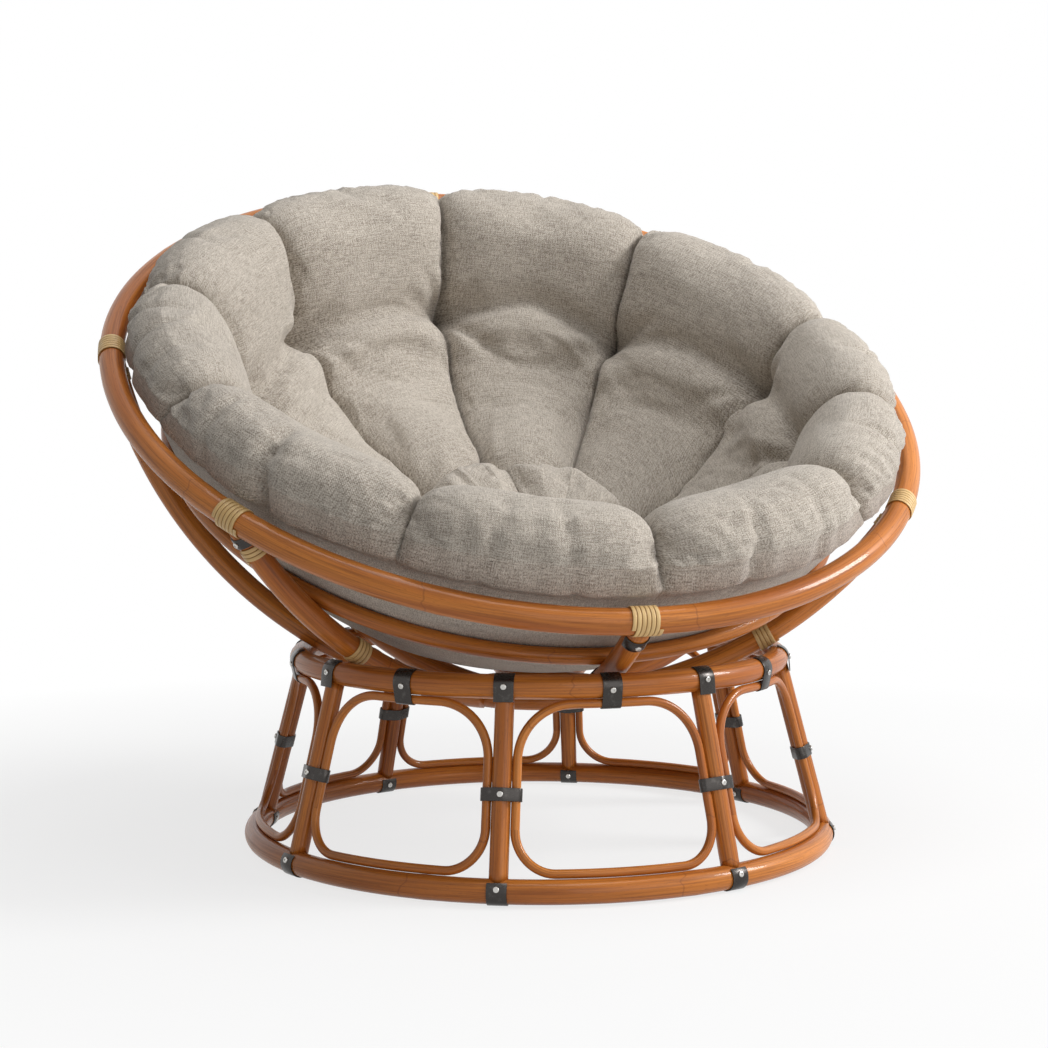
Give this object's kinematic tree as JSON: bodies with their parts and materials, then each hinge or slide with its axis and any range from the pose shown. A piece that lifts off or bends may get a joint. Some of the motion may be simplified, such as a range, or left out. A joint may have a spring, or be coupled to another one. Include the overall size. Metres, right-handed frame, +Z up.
{
  "type": "papasan chair",
  "caption": "Round rattan bowl chair: a tilted bowl of bent cane poles with a channelled, tufted cushion, resting loose on a tapered drum base of rings, posts and bent loops.",
  "frame": {"origin": "centre of the overall bounding box in plan, on the floor that the eight feet stand on", "axes": "+Z up, -Y towards the front that the tilted bowl faces, +X to the sitter's left"},
  "size_m": [1.069, 0.9312, 0.8696],
  "materials": {
    "rattan": "stained and lacquered cane pole, satin",
    "peel": "natural cane peel, matt",
    "strap": "dark gunmetal paint, semi-gloss",
    "fabric": "heathered grey-beige tweed, woven"
  },
  "bodies": {
    "base": {"base_bottom_ring": "rattan", "base_top_ring": "rattan", "leg_1": "rattan", "leg_2": "rattan", "leg_3": "rattan", "leg_4": "rattan", "leg_5": "rattan", "leg_6": "rattan", "leg_7": "rattan", "leg_8": "rattan", "panel_loop_1": "rattan", "panel_loop_2": "rattan", "panel_loop_3": "rattan", "panel_loop_4": "rattan", "panel_loop_5": "rattan", "panel_loop_6": "rattan", "panel_loop_7": "rattan", "panel_loop_8": "rattan", "mid_clamp_1": "strap", "mid_clamp_2": "strap", "mid_clamp_3": "strap", "mid_clamp_4": "strap", "mid_clamp_5": "strap", "mid_clamp_6": "strap", "mid_clamp_7": "strap", "mid_clamp_8": "strap", "top_strap_1": "strap", "top_strap_2": "strap", "top_strap_3": "strap", "top_strap_4": "strap", "top_strap_5": "strap", "top_strap_6": "strap", "top_strap_7": "strap", "top_strap_8": "strap"},
    "bowl": {"rim": "rattan", "bowl_hoop": "rattan", "hub_ring": "rattan", "front_strut": "rattan", "strut_clip": "strap", "rib_1": "rattan", "rib_2": "rattan", "rib_3": "rattan", "rib_4": "rattan", "rib_5": "rattan", "rib_6": "rattan", "rib_7": "rattan", "rim_winding_1": "peel", "rim_winding_2": "peel", "rim_winding_3": "peel", "rim_winding_4": "peel", "rim_winding_5": "peel", "rim_winding_6": "peel", "rim_winding_7": "peel", "rim_winding_8": "peel", "rest_winding_1": "peel", "rest_winding_2": "peel", "rest_winding_5": "peel", "rest_winding_6": "peel"},
    "cushion": {"cushion": "fabric"}
  },
  "joints": [
    {"name": "bowl_tilt", "type": "hinge", "parent": "base", "child": "bowl", "pos_m": [0, -0.0917, 0.7251], "axis": [1, 0, 0], "range_deg": [-31, 5]},
    {"name": "cushion_lift", "type": "slide", "parent": "bowl", "child": "cushion", "axis": [0, -0.5195, 0.8545], "range_m": [0, 0.45]}
  ]
}
